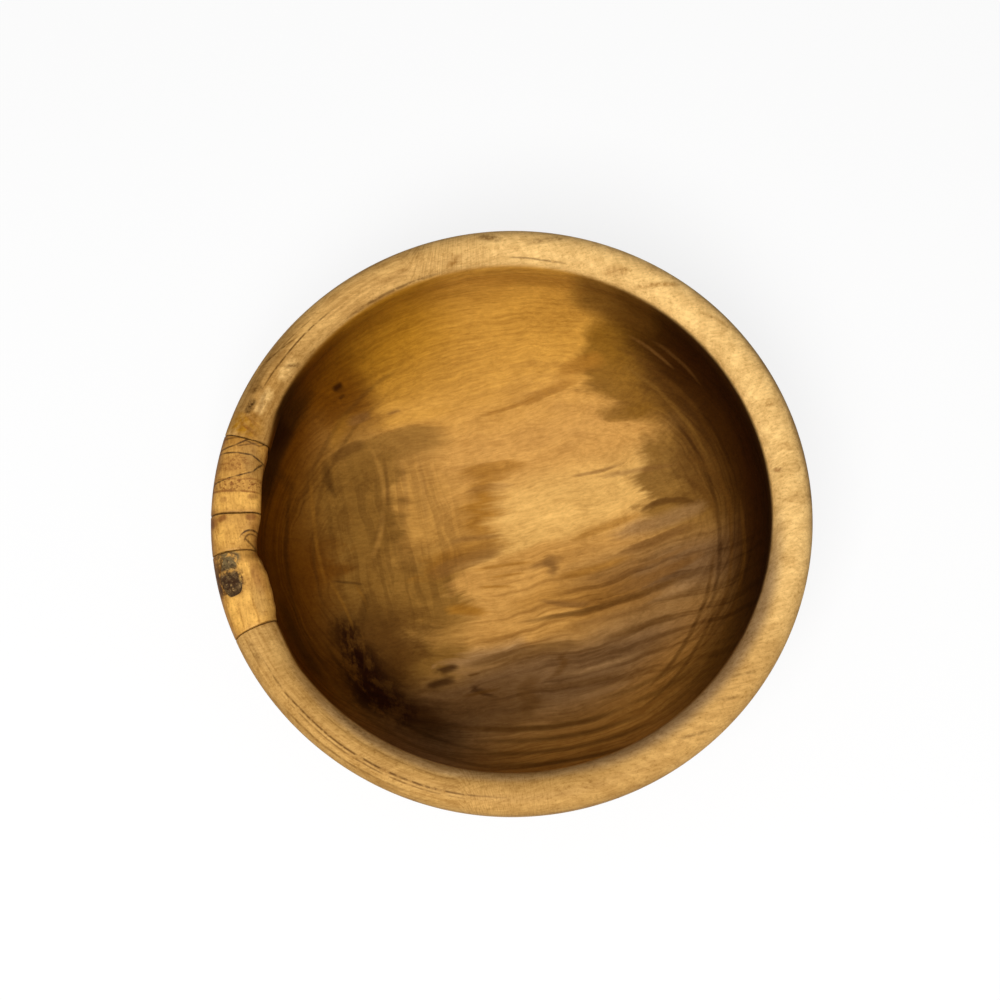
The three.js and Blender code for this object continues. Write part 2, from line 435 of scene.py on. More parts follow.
def knotPlug(block):
    corners = [v.co / mm for v in block.data.vertices]
    surface = BVHTree.FromPolygons(corners, [p.vertices for p in block.data.polygons])
    axis = knotFrame()[1]
    above = 8                        # the top is dropped onto the block from here
    verts, faces, rings = [], [], []
    for ring in range(1, knot["rings"] + 1):
        share = ring / knot["rings"]
        rings.append(knotRing(verts, share, knot["clearance"], above))
        for index in rings[-1]:
            spot = surface.ray_cast(verts[index], -axis)[0]
            lump = noise.fractal(spot * knot["lumpsPerMm"], 0.9, 2.1, 4) * knot["rough"]
            dip = max(-knot["rise"], lump + knot["dip"]) * smoothStep(1, 0.8, share)
            verts[index] = spot - axis * (knot["sunk"] + dip)
    for share, height in knot["sideRows"]:
        rings.append(knotRing(verts, share, knot["clearance"], height))
    rings.append(knotRing(verts, knot["taper"], knot["footGap"], knot["footGap"] - knot["depth"]))
    for low, high in zip(rings, rings[1:]):
        band(faces, high, low, True)
    faces.append(tuple(rings[0]))
    faces.append(tuple(reversed(rings[-1])))
    return meshPiece("knotPlug", "knot_plug", verts, faces)


plug = knotPlug(rimBlocks["lowerRimBlock"])
cutSocket(rimBlocks["lowerRimBlock"])
for piece in list(rimBlocks.values()) + [plug]:
    piece.data.set_sharp_from_angle(angle=sharpFrom)


class Wire:                          # a socket; expressions on wires add Math nodes
    def __init__(self, tree, socket=None):
        self.tree = tree
        self.socket = socket

    def node(self, kind, settings, inputs, output=0):
        made = self.tree.nodes.new(kind if kind.startswith("Node") else "ShaderNode" + kind)
        for name, value in settings.items():
            setattr(made, name, value)
        for name, value in inputs.items():
            if isinstance(value, Wire):
                self.tree.links.new(value.socket, made.inputs[name])
            else:
                made.inputs[name].default_value = value
        return Wire(self.tree, made.outputs[output] if made.outputs else None)

    def output(self, name):
        return Wire(self.tree, self.socket.node.outputs[name])

    def math(self, operation, *values):
        return self.node("Math", {"operation": operation}, dict(enumerate(values)))

    def __add__(self, other):
        return self.math("ADD", self, other)

    def __radd__(self, other):
        return self.math("ADD", other, self)

    def __sub__(self, other):
        return self.math("SUBTRACT", self, other)

    def __rsub__(self, other):
        return self.math("SUBTRACT", other, self)

    def __mul__(self, other):
        return self.math("MULTIPLY", self, other)

    def __rmul__(self, other):
        return self.math("MULTIPLY", other, self)

    def __pow__(self, other):
        return self.math("POWER", self, other)


def material(name):
    made = bpy.data.materials.new(name)
    made.use_nodes = True
    made.node_tree.nodes.clear()
    return made, Wire(made.node_tree)


def vectorSum(first, second):
    return first.node("VectorMath", {"operation": "ADD"}, {0: first, 1: second})


def vectorTimes(vector, factors):
    return vector.node("VectorMath", {"operation": "MULTIPLY"}, {0: vector, 1: factors})


def vectorScaled(vector, factor):
    return vector.node("VectorMath", {"operation": "SCALE"}, {0: vector, "Scale": factor})


def mixed(factor, first, second, blend="MIX"):
    settings = {"data_type": "RGBA", "blend_type": blend}
    return factor.node("Mix", settings, {0: factor, 6: first, 7: second}, 2)


def darkened(colour, mask, tint):
    return mixed(mask, colour, tint, "MULTIPLY")


def joined(x, y, z=0):
    return x.node("CombineXYZ", {}, {0: x, 1: y, 2: z})


def plan(vector):
    axes = vector.node("SeparateXYZ", {}, {0: vector})
    return axes, axes.output(1)


def smooth(value, low, high, fromValue=0.0, toValue=1.0):
    return value.node("MapRange", {"interpolation_type": "SMOOTHSTEP"}, {
        "Value": value, "From Min": low, "From Max": high, "To Min": fromValue, "To Max": toValue})


def unevenness(vector, detail, roughness=0.5):
    return vector.node("TexNoise", {}, {
        "Vector": vector, "Scale": 1.0, "Detail": detail, "Roughness": roughness})


def speckle(vector, perMm, detail=2.0, roughness=0.5):
    return unevenness(vectorTimes(vector, perMm), detail, roughness)


def woodSurface(start, colour, roughness, gloss, height, strength, depth):
    bump = start.node("Bump", {}, {"Strength": strength, "Distance": depth * mm, "Height": height})
    shader = start.node("BsdfPrincipled", {}, {
        "Base Color": colour, "Roughness": roughness, "Normal": bump, "Specular IOR Level": gloss})
    start.node("OutputMaterial", {}, {"Surface": shader})


# node group that paints one soft oval over a colour
# bend arches it, feather softens one side and hardens the other
def ovalPaint():
    tree = bpy.data.node_groups.new("ovalPaint", "ShaderNodeTree")
    values = ("x", "y", "alongX", "alongY", "alongShift", "acrossX", "acrossY", "acrossShift",
              "bend", "edge", "feather", "amount")
    for name in values:
        tree.interface.new_socket(name, in_out="INPUT", socket_type="NodeSocketFloat")
    for name in ("under", "paint"):
        tree.interface.new_socket(name, in_out="INPUT", socket_type="NodeSocketColor")
    tree.interface.new_socket("colour", in_out="OUTPUT", socket_type="NodeSocketColor")
    given = Wire(tree).node("NodeGroupInput", {}, {})
    x, y = given.output("x"), given.output("y")
    along = x * given.output("alongX") + y * given.output("alongY") - given.output("alongShift")
    across = x * given.output("acrossX") + y * given.output("acrossY") - given.output("acrossShift")
    run = along * along
    across = across + (run - 1) * given.output("bend")
    reach = (run * run + across * across) ** 0.5
    softness = given.math("MAXIMUM", (1 + across * given.output("feather")) * given.output("edge"), 0.02)
    mask = smooth(1 - reach, 0, softness) * given.output("amount")
    given.node("NodeGroupOutput", {}, {"colour": mixed(mask, given.output("under"), given.output("paint"))})
    return tree


ovals = ovalPaint()


def blot(colour, spot, amount, at, size, turn, edge, paint, bend=0, feather=0):
    c, s = math.cos(math.radians(turn)), math.sin(math.radians(turn))
    return spot[0].node("Group", {"node_tree": ovals}, {
        "x": spot[0], "y": spot[1], "under": colour, "paint": tones[paint], "amount": amount,
        "alongX": c / size[0], "alongY": s / size[0], "alongShift": (at[0] * c + at[1] * s) / size[0],
        "acrossX": -s / size[1], "acrossY": c / size[1], "acrossShift": (at[1] * c - at[0] * s) / size[1],
        "bend": bend / size[1], "edge": edge, "feather": feather})


def blots(colour, spot, mask, rows):
    for at, size, turn, edge, paint, strength in rows:
        colour = blot(colour, spot, mask * strength, at, size, turn, edge, paint)
    return colour


def stroke(colour, spot, amount, start, end, bend, width, paint, edge, feather=0):
    run = Vector(end) - Vector(start)
    middle = (Vector(end) + Vector(start)) / 2
    turn = math.degrees(math.atan2(run.y, run.x))
    return blot(colour, spot, amount, middle, (run.length / 2, width / 2), turn, edge, paint, bend, feather)


def tone(r, g, b):
    return (r, g, b, 1)


tones = {
    "none": tone(0, 0, 0),
    "full": tone(1, 1, 1),
    "bright": tone(0.73, 0.415, 0.108),
    "honey": tone(0.57, 0.285, 0.062),
    "gold": tone(0.56, 0.272, 0.038),
    "saffron": tone(0.41, 0.182, 0.012),
    "tan": tone(0.46, 0.225, 0.042),
    "amber": tone(0.33, 0.136, 0.013),
    "brown": tone(0.2, 0.086, 0.018),
    "treacle": tone(0.215, 0.092, 0.007),
    "olive": tone(0.215, 0.098, 0.014),
    "dun": tone(0.21, 0.106, 0.036),
    "grey": tone(0.36, 0.195, 0.068),
    "sienna": tone(0.44, 0.195, 0.032),
    "umber": tone(0.105, 0.040, 0.005),
    "redBrown": tone(0.140, 0.042, 0.001),
    "dark": tone(0.040, 0.012, 0.001),
    "black": tone(0.018, 0.003, 0.0002),
    "rimPale": tone(0.85, 0.53, 0.18),
    "rimHoney": tone(0.62, 0.35, 0.1),
    "rimDeep": tone(0.51, 0.28, 0.074),
    # real stains, and painted shade along the outer edge of the rim
    "stain": tone(0.25, 0.125, 0.030),
    # painted sheen for the inner slope of the lip
    "bloom": tone(0.42, 0.26, 0.110),
    # painted shade with a grey sheen for the inner slope of the lip
    "haze": tone(0.29, 0.175, 0.080),
    "blockYellow": tone(0.70, 0.37, 0.074),
    "blockHoney": tone(0.53, 0.265, 0.052),
    "knotOlive": tone(0.150, 0.100, 0.036),
    "rust": tone(0.25, 0.090, 0.014),
}

# figure of the turned body: places and half sizes in mm, seen from above
bodyFigure = {
    "grain": 7,                      # degrees from +X
    "pith": (4, -62),                # across the grain, height
    "fingers": 5,                    # how far tones fray along the grain, broadly and finely
    "hairs": 1.6,
    "wander": 3,
    "wallFrom": (42, 62),            # radii between which the floor turns into the wall
    "gloss": 0.05,
    "lift": (1.24, 1.29, 1.44),      # tones are brightened before the fibres darken them
    "streaked": ((28, -26), (52, 34), 8, 0.7),   # streaks along the grain: at, half sizes, turn, softness
    "barred": ((-34, 6), (22, 36), 4, 0.6),      # bars across the grain
    "zones": [                       # at, half sizes, turn, softness, tone, strength
        ((4, 64), (88, 34), 3, 0.7, "gold", 1.0),
        ((-36, 60), (34, 24), 30, 0.9, "saffron", 1.0),
        ((-44, 44), (12, 16), 30, 0.9, "redBrown", 0.8),
        ((22, 13), (42, 15), 6, 0.9, "bright", 1.0),
        ((6, 4), (26, 7), 14, 0.9, "bright", 0.8),
        ((-44, 4), (35, 40), 0, 0.6, "tan", 1.0),
        ((-48, 14), (20, 31), 0, 0.7, "olive", 0.95),
        ((-58, -8), (13, 26), 6, 0.8, "redBrown", 0.9),
        ((-34, -12), (25, 19), 4, 0.7, "olive", 0.85),
        ((-8, 14), (15, 9.5), 66, 1.0, "amber", 0.95),
        ((-16, 0), (16, 5.6), 14, 0.9, "amber", 0.8),
        ((48, -13), (42, 18), 8, 0.9, "dun", 1.0),
        ((18, -48), (76, 28), 7, 0.5, "dun", 1.0),
        ((20, -17), (26, 12), 8, 0.9, "amber", 0.6),
        ((-30, -31), (17, 9), 4, 0.8, "olive", 0.9),
        ((-3, -7), (21, 7), 18, 0.5, "honey", 1.0),
        ((1, -22.8), (20, 6.4), 12, 0.6, "honey", 0.85),
        ((-10, -29.4), (12, 4.6), 6, 0.9, "grey", 0.9),
        ((42, 2), (15, 4), 6, 0.9, "grey", 0.8),
        ((56, 14), (20, 22), 0, 0.5, "olive", 0.9),
        ((60, 16), (14, 26), 4, 0.8, "umber", 0.8),
        ((48, 2.4), (9, 3.4), 8, 0.9, "grey", 0.6),
        ((40.5, 45), (19, 13), -32, 0.4, "treacle", 0.9),
        ((54, 38), (12, 28), 24, 0.9, "umber", 0.9),
        ((-44, -28), (21, 21), 0, 0.8, "umber", 0.95),
        ((-20, -45), (28, 11), -2, 0.9, "umber", 0.6),
        ((-36, -43), (24, 11), -36, 0.9, "dark", 0.9),
    ],
    "bands": [                       # round the walls: from, to, radius, width, tone, strength
        (108, 252, 71, 38, "redBrown", 1.0),
        (244, 344, 67, 46, "sienna", 0.95),
        # the next three: the right wall, dark heartwood with painted shade over it
        (-66, 20, 70, 34, "umber", 0.85),
        (-52, 70, 72, 34, "dark", 0.9),
        (-40, 64, 73, 26, "black", 0.95),
        (46, 72, 69.4, 6, "umber", 0.7),
        (6, 58, 66.4, 7, "dark", 0.5),
        # painted shadow just under the lip beside the upper block
        (136, 172, 69, 4.4, "dark", 0.95),
        (188, 216, 66.4, 4, "dark", 0.7),
        (8, 60, 63.4, 2.0, "umber", 0.5),
        (14, 56, 60.2, 1.6, "olive", 0.45),
        (-34, 40, 58.4, 1.8, "dark", 0.5),
        (-46, 22, 61.4, 1.5, "umber", 0.5),
        (-52, 8, 64.6, 1.6, "umber", 0.5),
        (-60, -6, 56.6, 1.8, "umber", 0.6),
        (-62, -20, 60, 1.5, "umber", 0.6),
        (112, 176, 60.6, 1.8, "umber", 0.4),
        (118, 210, 56.8, 1.6, "umber", 0.4),
        (150, 226, 64, 1.6, "dark", 0.4),
        (196, 262, 60.4, 1.8, "dark", 0.5),
        (204, 280, 65, 1.6, "umber", 0.5),
    ],
    "patches": [                     # black patches low on the left
        ((-48.6, -26), (12, 7), 98, 0.9, "black", 0.9),
        ((-45, -34), (11, 9), 116, 0.9, "black", 0.9),
        ((-39.6, -42), (13, 9), -42, 0.9, "black", 1.0),
    ],
    "strokes": [                     # from, to, arch, width, tone, strength, softer to one side
        ((-40, 37.6), (-10, 43.6), 1, 5, "gold", 0.5, 0),
        ((-49.4, 21.6), (-12, 34.6), 3, 14, "olive", 0.7, -0.95),
        ((-50.6, 27.6), (-38, 34.8), 0.6, 4, "umber", 0.7, -0.9),
        ((-45, 39.4), (-36, 42.8), 0.2, 3.6, "brown", 0.7, 0.9),
        ((-33, 42.2), (-28, 43.6), 0, 1.4, "brown", 0.6, 0),
        ((-50, 31), (-42, 43), 0.4, 5, "saffron", 0.2, 0),
        ((-16, 23), (8, 24.6), 0.6, 6, "amber", 0.7, -0.9),
        ((-14, 18), (5, 19.6), 0.5, 3.4, "brown", 0.4, -0.9),
        ((-20, 4.6), (-2, 5), 0.4, 2.6, "brown", 0.5, 0),
        ((-28, -5), (-2, 2), 0.8, 7, "brown", 0.6, 0.9),
        ((-8, 40.2), (12, 43.4), 0.2, 1.8, "amber", 0.7, 0.6),
        ((4, 42.2), (26, 47.2), 0.2, 4, "amber", 0.7, 0.9),
        ((17, 47.6), (34, 50), 0.6, 6.6, "amber", 0.8, -0.8),
        ((27, 38), (46, 35.6), -1.2, 6, "treacle", 0.75, 0.8),
        ((26, 60), (38, 46), 1.5, 7, "treacle", 0.6, 0.6),
        ((18, 20), (35, 21.6), -0.4, 1.6, "brown", 0.6, 0.6),
        ((23, 18.4), (52, 17.4), 0.6, 2.6, "brown", 0.6, 0),
        ((39, 30), (46, 20), -1, 5, "olive", 0.5, -0.6),
        ((36, 5.2), (55, 3.6), 3.0, 3.0, "umber", 0.8, -0.8),
        ((44, 17), (58, -6), 5, 3.4, "umber", 0.6, 0),
        ((48, 22), (61, -8), 6, 2.6, "umber", 0.7, 0),
        ((16, 1), (40, 6), 0.6, 4, "amber", 0.6, 0.6),
        ((10, -9.6), (36, -5.4), -0.6, 4, "amber", 0.6, 0),
        ((29, -5.6), (54, -0.4), -0.4, 4, "brown", 0.8, -0.9),
        ((24, -15.6), (55, -8.4), -0.9, 5, "brown", 0.85, 0.8),
        ((-5, -21.4), (55, -13.4), -2.4, 2.4, "umber", 0.7, -0.8),
        ((20, -12.6), (54, -5.6), -0.8, 2.0, "brown", 0.6, -0.8),
        ((4, -15), (22, -18.4), -0.8, 2.6, "brown", 0.7, 0.6),
        ((12, -24), (38, -22), -0.5, 3, "brown", 0.5, 0),
        ((36, -21.6), (52, -16.6), 0.3, 4, "grey", 0.4, 0),
        ((22, -29.6), (46, -25.6), -0.4, 3.4, "umber", 0.5, -0.6),
        ((-20, -34), (20, -30.4), 0.8, 5, "umber", 0.55, -0.9),
        ((12, -30.4), (4.6, -40), 1.4, 3.4, "umber", 0.6, 0),
        ((8, -39.2), (34, -34.6), -0.6, 3, "grey", 0.4, 0),
        ((-2, -41.6), (30, -39.4), -0.8, 3.4, "umber", 0.5, 0.6),
        ((1, -36.5), (-2, -52), 0.6, 9, "umber", 0.55, 0.7),
        ((9, -46.6), (30, -43), -0.5, 2.6, "grey", 0.3, 0),
        ((16, -47.6), (50, -36), -2.4, 2.4, "umber", 0.5, 0.6),
        ((24, -50.6), (52, -37), -2.6, 2.6, "umber", 0.6, 0),
        ((-26, -50), (30, -50), -3.4, 3, "umber", 0.8, 0.6),
        ((-22, -54.6), (36, -52), -3.6, 2.4, "umber", 0.6, 0.6),
        ((-20, -58.4), (38, -54.6), -4, 2.2, "umber", 0.6, 0.6),
        ((-16, -62), (34, -60), -3.4, 2.2, "umber", 0.7, 0.6),
        ((-13, -4.6), (6, -4), 0.4, 1.8, "amber", 0.7, 0),
        ((-13, -10), (-1, -10.4), 0.2, 1.6, "amber", 0.7, 0),
        ((-8, -7.4), (3, -6.8), 0.2, 1.4, "amber", 0.6, 0),
        ((-24, -15), (-8, -17.4), 0.3, 4.4, "amber", 0.9, 0.6),
        ((9.4, -1.8), (11, -9.8), 0.3, 5.6, "brown", 0.75, 0),
        ((-25, -34.2), (-17.6, -32.2), 0.2, 3.6, "dark", 0.85, 0.5),
        ((-29.6, -38.4), (-20, -36), 0.3, 3.6, "dark", 0.85, 0.5),
        ((-18.6, -38.8), (-9, -43.8), 0.4, 2.6, "dark", 0.7, 0),
        ((-19, -42), (-6.4, -41), 0.3, 1.8, "umber", 0.7, 0),
        ((-17, -35.8), (-12, -35), 0, 1.4, "umber", 0.7, 0),
        ((3, -5.8), (15, -4.2), 0, 3.4, "brown", 0.55, 0),
    ],
    "lines": [                       # thin lines that don't fray
        ((-39, 34.5), (-36.6, 14), 1.6, 2.2, "tan", 0.35),
        ((-36.6, 17), (-42, -1), 1.0, 2.6, "tan", 0.35),
        ((-35.2, 32), (-35.2, 14), 0.3, 1.6, "umber", 0.35),
        ((-35.4, 15), (-40, 5), -0.6, 2.6, "umber", 0.4),
        ((-30, 31), (-30, 12), 0.4, 2.4, "brown", 0.3),
        ((-25, 33), (-25, 8), 0.6, 3.0, "brown", 0.25),
        ((-51, 30), (-49.6, 18), -0.6, 4, "dark", 0.55),
        ((-55, 28), (-53.6, -10), -1.6, 1.8, "amber", 0.3),
        ((-54.6, -3), (-47.4, -22), 1.0, 1.4, "amber", 0.3),
        ((-47.4, -5), (-43.4, -16), 1.0, 1.4, "amber", 0.25),
        ((-46, -19), (-46, -34), 0.8, 1.2, "amber", 0.08),
        ((-42, -7), (-46, -24), -0.8, 4.0, "dark", 0.4),
        ((-53, -5.4), (-43, -6.8), 0.2, 1.4, "dark", 0.5),
        ((-46.8, 47), (-43.4, 49.4), 0, 2.4, "black", 0.85),
        ((-45.4, 45.4), (-43.4, 46.8), 0, 1.4, "dark", 0.6),
        # the next two: painted shadow on the wall under the upper block's overhang
        ((-65.4, 26.6), (-58.6, 36.6), 0.4, 5, "black", 0.85),
        ((-65, 26), (-60.6, 18.8), 0.4, 5, "dark", 0.4),
        ((38, 54.6), (52, 41), 0.8, 1.0, "brown", 0.4),
        ((44, 51.6), (58, 34), 1.4, 0.9, "brown", 0.22),
    ],
    "rimBands": [                    # round the rim and outside: from, to, radius, width, tone, strength
        (-46, 114, 74, 60, "rimPale", 1.0),
        (192, 304, 74, 60, "rimDeep", 1.0),
        (124, 180, 74, 60, "rimDeep", 0.5),
        (130, 159, 76.8, 5.6, "stain", 0.6),
        (138, 178, 72, 12, "amber", 0.45),
        (198, 300, 77.4, 4, "rimHoney", 0.4),
        # painted sheen on the inner slope of the lip, low on the near side
        (206, 290, 70.2, 4.6, "bloom", 0.6),
        # painted shade with a grey sheen on the inner slope of the lip, near side on the right
        (-92, -2, 69.6, 9, "haze", 0.8),
        # the next two: painted shade on the outer slope of the rim, along its outer edge
        (-24, 58, 80.2, 6, "stain", 0.6),
        (112, 180, 80.2, 4.4, "stain", 0.15),
    ],
    "rim": [                         # stains on the rim: degrees, radius, half sizes, turn, tone, strength
        (149.6, 72.2, (5.0, 2.4), 0, "rimPale", 0.7),
        (141, 71.6, (4.6, 2.2), 0, "rimPale", 0.6),
        (146.6, 76.4, (4.4, 1.8), 8, "stain", 0.6),
        (148, 75.4, (2.0, 1.2), 25, "umber", 0.7),
        (151.8, 74.8, (2.8, 1.6), 0, "dark", 0.75),
        (150, 72.6, (4.0, 1.0), -10, "stain", 0.5),
        (156.0, 74.6, (3.6, 7.4), 12, "saffron", 0.8),
        (156.4, 73.0, (0.7, 4.6), 22, "rust", 0.7),
        (154.6, 72.6, (0.6, 4.0), 28, "rust", 0.6),
        (153.6, 72, (1.0, 3.6), 20, "amber", 0.5),
        (139.6, 71.0, (2.6, 0.8), 35, "stain", 0.8),
        (131, 76.8, (5.0, 0.9), 8, "stain", 0.3),
        (96.5, 71.2, (3.6, 1.6), -25, "amber", 0.5),
        (104, 77.0, (5.0, 1.2), -8, "stain", 0.25),
        (88, 76.2, (4.0, 1.7), 12, "stain", 0.6),
        (76, 76.2, (7.0, 1.5), -18, "stain", 0.5),
        (51, 73.6, (8.0, 1.3), -34, "amber", 0.5),
        (60, 72.4, (4.2, 2.4), -20, "amber", 0.45),
        (36, 76.4, (6.0, 1.0), -22, "amber", 0.3),
        (16, 74.6, (1.6, 4.4), 20, "amber", 0.3),
        (6, 74.8, (1.4, 4.6), 14, "amber", 0.35),
        (1.6, 71.4, (0.9, 2.0), 24, "rust", 0.5),
        (-5, 74.6, (1.5, 4.6), 10, "amber", 0.3),
        (-18, 74.4, (1.8, 4.0), 20, "amber", 0.25),
        (-43, 74.2, (4.4, 0.9), 42, "stain", 0.5),
        (-49, 75.0, (4.0, 0.7), 38, "stain", 0.4),
        (-58, 76.2, (6.0, 0.8), 24, "stain", 0.5),
        (204, 76.6, (4.4, 1.6), 0, "stain", 0.5),
        (228, 69.8, (9.0, 1.0), 4, "umber", 0.4),
    ],
    "ringLines": [                   # dark lines along the rim: from, to, radius at each, width, strength
        (200, 268, 75.4, 75.9, 0.9, 0.9),
        (206, 262, 76.4, 76.8, 0.7, 0.6),
        (210, 250, 78.4, 78.2, 0.8, 0.5),
        (214, 262, 72.4, 72.2, 0.7, 0.4),
        (122, 151, 73.4, 74.2, 0.8, 0.9),
        (133, 145, 74.2, 78.6, 0.8, 0.8),
        (128, 140, 75.2, 76.6, 0.6, 0.6),
        (97, 126, 69.9, 69.7, 0.9, 0.7),
        (70, 86, 70.6, 70.8, 0.7, 0.6),
    ],
}


def grainFrame(start, wander, grain):
    place = vectorScaled(start.node("TexCoord", {}, {}, "Object"), 1 / mm)
    drift = speckle(place, (0.05, 0.05, 0.05), 2).output("Color")
    wandered = vectorSum(place, vectorScaled(vectorSum(drift, (-0.5, -0.5, -0.5)), 2 * wander))
    grained = start.node("Mapping", {}, {"Vector": wandered, "Rotation": (0, 0, -math.radians(grain))})
    return place, wandered, grained


def bodyWood():
    made, start = material("oiledOliveWood")
    figure = bodyFigure
    place, wandered, grained = grainFrame(start, figure["wander"], figure["grain"])
    axes = start.node("SeparateXYZ", {}, {0: grained})
    along, across, height = axes, axes.output(1), axes.output(2)
    sideways = across - figure["pith"][0]
    rise = height - figure["pith"][1]
    rings = (sideways * sideways + rise * rise) ** 0.5
    x, y = plan(place)
    wall = smooth((x * x + y * y) ** 0.5, *figure["wallFrom"])
    hollow = start.node("Attribute", {"attribute_name": "hollow"}, {}, "Fac")
    outside = 1 - hollow

    # tones fray out along the grain on the floor, less so on the walls
    fingers = speckle(grained, (0.03, 0.22, 0.22), 2) - 0.5
    hairs = speckle(grained, (0.07, 1.1, 1.1), 2) - 0.5
    reach = (fingers * (4 * figure["fingers"]) + hairs * (4 * figure["hairs"])) * (1 - 0.8 * wall)
    soft = plan(wandered)
    grainX, grainY = math.cos(math.radians(figure["grain"])), math.sin(math.radians(figure["grain"]))
    ragged = (soft[0] + reach * grainX, soft[1] + reach * grainY)
    crisp = (x * 0.75 + soft[0] * 0.25, y * 0.75 + soft[1] * 0.25)
    brushed = (crisp[0] + reach * (0.4 * grainX), crisp[1] + reach * (0.4 * grainY))
    radius = (crisp[0] * crisp[0] + crisp[1] * crisp[1]) ** 0.5
    unrolled = {"left": (start.math("ARCTAN2", -1 * crisp[1], -1 * crisp[0]) * rimCentre.x, radius),
                "right": (start.math("ARCTAN2", crisp[1], crisp[0]) * rimCentre.x, radius)}

    def unroll(degrees, ringRadius, seam):
        return math.radians(degrees - seam) * rimCentre.x, ringRadius

    def nearSide(degrees):
        return ("right", 0) if degrees < 90 else ("left", 180)

    def roundStroke(colour, amount, first, last, radii, width, paint, edge):
        side, seam = nearSide(first)
        ends = unroll(first, radii[0], seam), unroll(last, radii[1], seam)
        return stroke(colour, unrolled[side], amount, *ends, 0, width, paint, edge)

    def roundBands(colour, mask, rows):
        for first, last, ringRadius, width, paint, strength in rows:
            radii = ringRadius, ringRadius
            colour = roundStroke(colour, mask * strength, first, last, radii, width, paint, 0.8)
        return colour

    colour = mixed(hollow, tones["rimHoney"], tones["honey"])
    colour = blots(colour, ragged, hollow, figure["zones"])
    colour = roundBands(colour, hollow, figure["bands"])
    burnt = smooth(speckle(place, (0.3, 0.16, 0.3), 4, 0.65), 0.36, 0.58)
    colour = blots(colour, soft, burnt * hollow, figure["patches"])
    colour = roundBands(colour, outside, figure["rimBands"])
    flecked = smooth(speckle(place, (0.9, 0.9, 0.9), 3, 0.6), 0.3, 0.7, 0.5, 1.5)
    for degrees, ringRadius, size, turn, paint, strength in figure["rim"]:
        side, seam = nearSide(degrees)
        at = unroll(degrees, ringRadius, seam)
        colour = blot(colour, unrolled[side], flecked * outside * strength, at, size, turn, 0.9, paint)

    # streaks: straight on the floor, following the rings up the walls, crossing the grain on the left
    streaks = smooth(unevenness(joined(across * 0.4, along * 0.02), 3), 0.46, 0.64)
    streaked = blot(tones["none"], soft, 1, *figure["streaked"], "full")
    colour = darkened(colour, streaks * (streaked * 0.75 + 0.12) * hollow, tone(0.55, 0.48, 0.38))
    ringed = smooth(unevenness(joined(rings * 0.9, along * 0.02, across * 0.02), 4), 0.46, 0.62)
    ringed = ringed * (0.12 + wall * hollow * smooth(y, 20, 48, 0.5, 0.2))
    colour = darkened(colour, ringed, tone(0.62, 0.55, 0.45))
    crossing = smooth(unevenness(joined(along * 0.45, across * 0.03), 3), 0.44, 0.58)
    barred = blot(tones["none"], soft, hollow, *figure["barred"], "full")
    colour = darkened(colour, crossing * barred * 0.5, tone(0.6, 0.55, 0.5))

    for first, last, bend, width, paint, strength, feather in figure["strokes"]:
        colour = stroke(colour, brushed, hollow * strength, first, last, bend, width, paint, 0.9, feather)
    for first, last, bend, width, paint, strength in figure["lines"]:
        colour = stroke(colour, crisp, hollow * strength, first, last, bend, width, paint, 0.9)

    # grain on the rim: along it on the left, slanting over it on the right
    turn, out = unrolled["left"]
    onLeft = joined(turn * 0.07, out * 0.9)
    turn, out = unrolled["right"]
    onRight = joined((turn - out) * 0.28, (turn + out) * 0.06)
    left = smooth(x, -22, 6, 1, 0)
    sweep = start.node("Mix", {"data_type": "VECTOR"}, {0: left, 4: onRight, 5: onLeft}, 1)
    sweep = smooth(unevenness(sweep, 4, 0.6), 0.42, 0.62)
    colour = darkened(colour, sweep * outside * (0.32 + 0.24 * left), tone(0.62, 0.54, 0.42))

    # dark lines along the rim, broken up into dashes
    dashes = smooth(speckle(place, (0.5, 0.5, 0.5), 3), 0.3, 0.55)
    for first, last, startRadius, endRadius, width, strength in figure["ringLines"]:
        radii = (startRadius, endRadius)
        colour = roundStroke(colour, dashes * outside * strength, first, last, radii, width, "umber", 0.9)

    # fibres, pores and mottling over everything
    fibres = speckle(grained, (0.2, 1.6, 1.6), 4, 0.65)
    mottle = speckle(place, (0.5, 0.5, 0.5), 4, 0.7)
    cloud = speckle(grained, (0.06, 0.16, 0.16), 3, 0.6)
    pores = smooth(speckle(grained, (0.55, 4.5, 4.5), 1), 0.62, 0.75)
    darkness = smooth(fibres, 0.3, 0.7, 0.34, 0) + smooth(mottle, 0.3, 0.7, 0.2, 0)
    darkness = darkness + smooth(cloud, 0.3, 0.7, 0.3, 0) + 0.2 * pores
    darkness = darkness + outside * smooth(speckle(place, (1.3, 1.3, 1.3), 3, 0.65), 0.5, 0.7, 0, 0.3)
    colour = darkened(vectorTimes(colour, figure["lift"]), darkness, tone(0.5, 0.43, 0.32))
    roughness = smooth(mottle, 0.3, 0.7, 0.56, 0.46)
    woodSurface(start, colour, roughness, figure["gloss"], fibres - pores * 0.5, 0.2, 0.08)
    print("body wood:", len(made.node_tree.nodes), "nodes")
    return made


turnedBody.data.materials.append(bodyWood())

